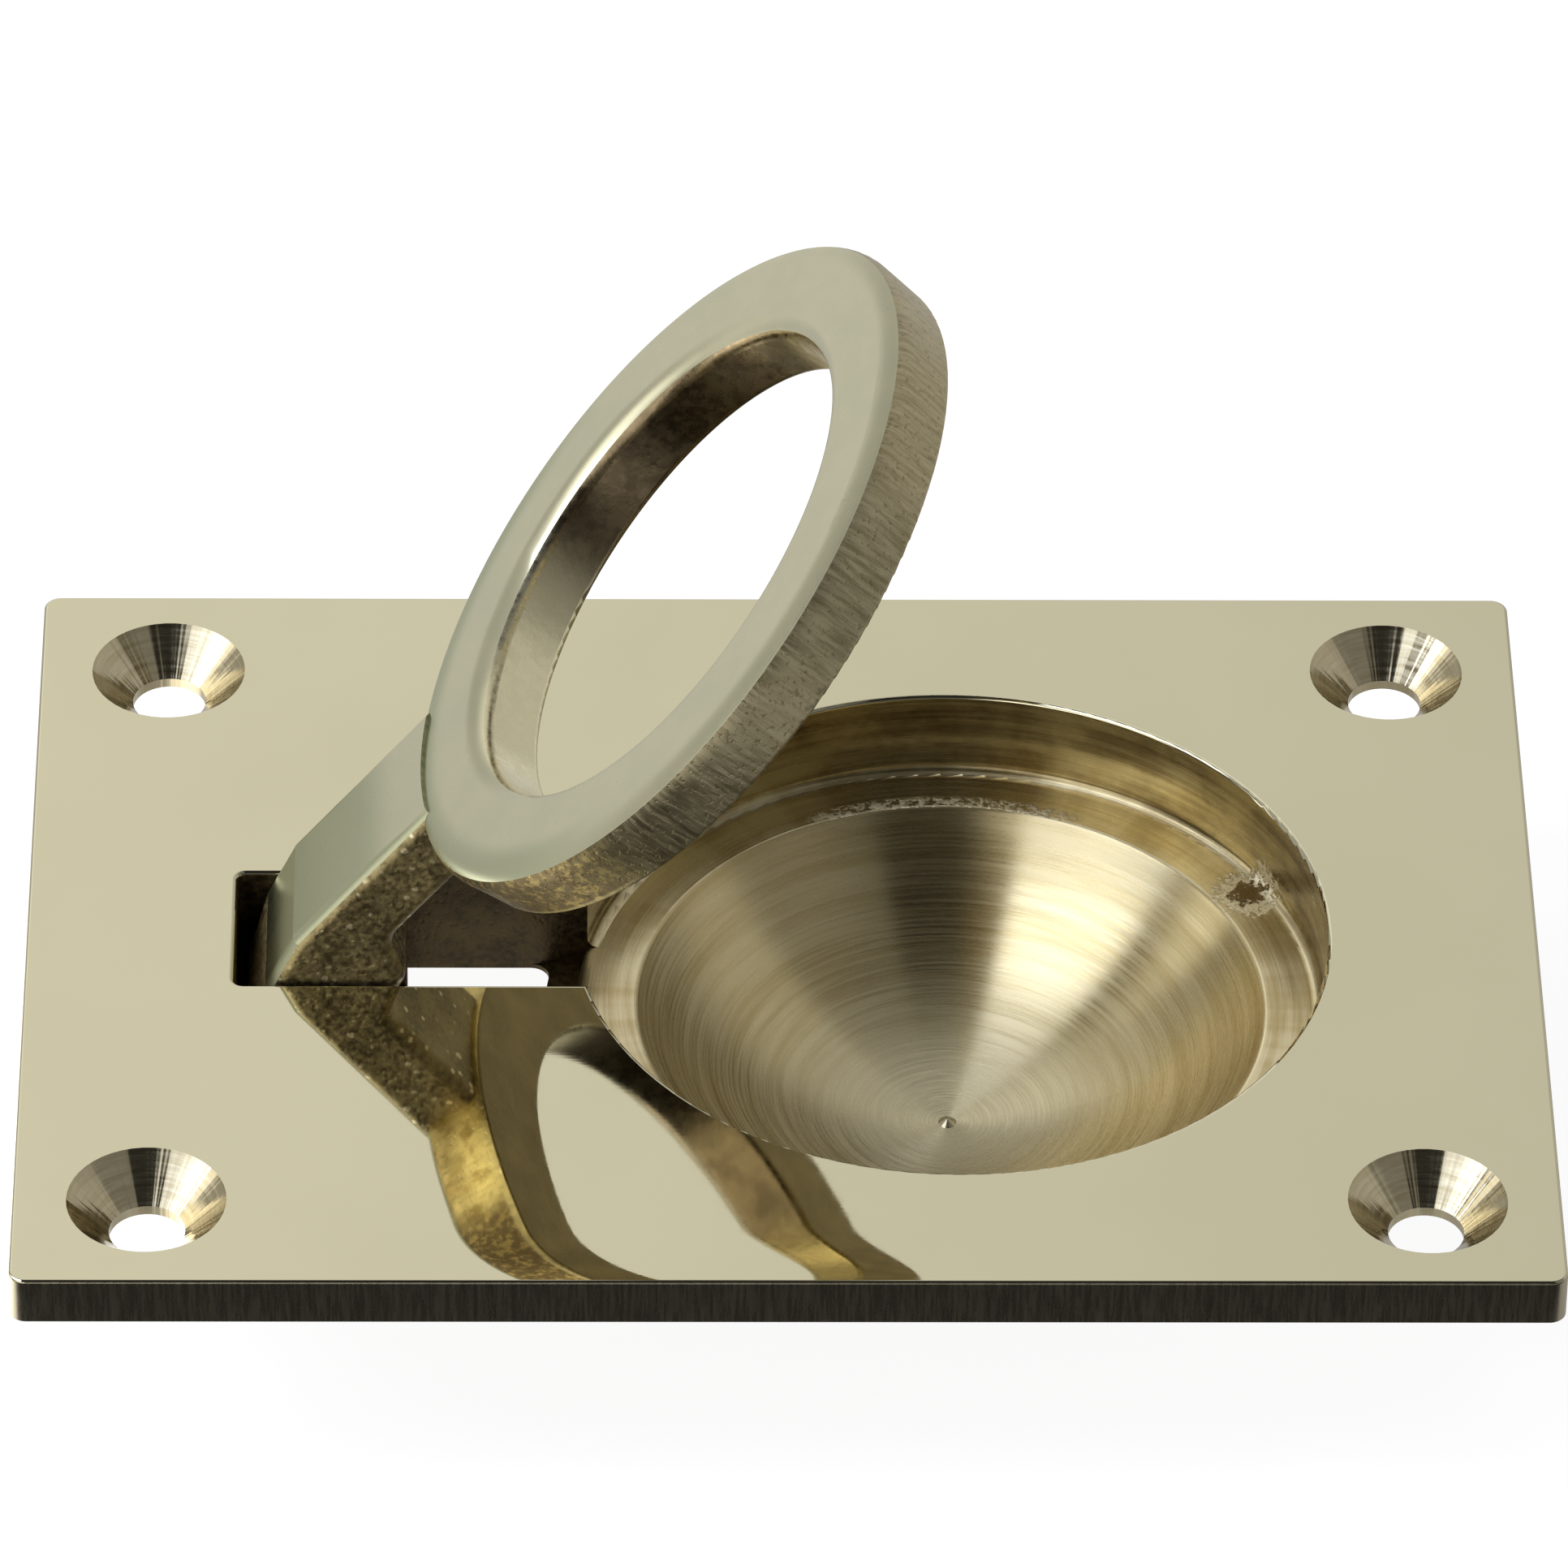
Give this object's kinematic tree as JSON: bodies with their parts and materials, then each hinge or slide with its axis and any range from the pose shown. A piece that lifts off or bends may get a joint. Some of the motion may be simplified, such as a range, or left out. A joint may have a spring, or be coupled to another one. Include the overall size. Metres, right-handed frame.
{
  "type": "flush ring pull",
  "caption": "Flush ring pull in cast brass: a rectangular plate with countersunk corner holes and a round finger bowl, and a flat ring on a stem that swings up out of the recess.",
  "frame": {"origin": "centre of the plate, in the plane of its back face, midway between the four screw holes", "axes": "+Z out of the cabinet through the plate's face, +X along the plate from the hinge to the finger bowl, +Y across it"},
  "size_m": [0.0888, 0.0636, 0.0604],
  "materials": {
    "plate_brass": "mirror polished face, turned bowl, cast back",
    "ring_brass": "satin polished faces, brushed rim",
    "pin_brass": "drawn, plain"
  },
  "bodies": {
    "plate": {"back_plate": "plate_brass", "hinge_pin": "pin_brass"},
    "ring": {"ring_handle": "ring_brass"}
  },
  "joints": [
    {"name": "ring_hinge", "type": "hinge", "parent": "plate", "child": "ring", "pos_m": [-0.02865, 0, -0.00255], "axis": [0, -1, 0], "range_deg": [-50.9, 24.3]}
  ]
}
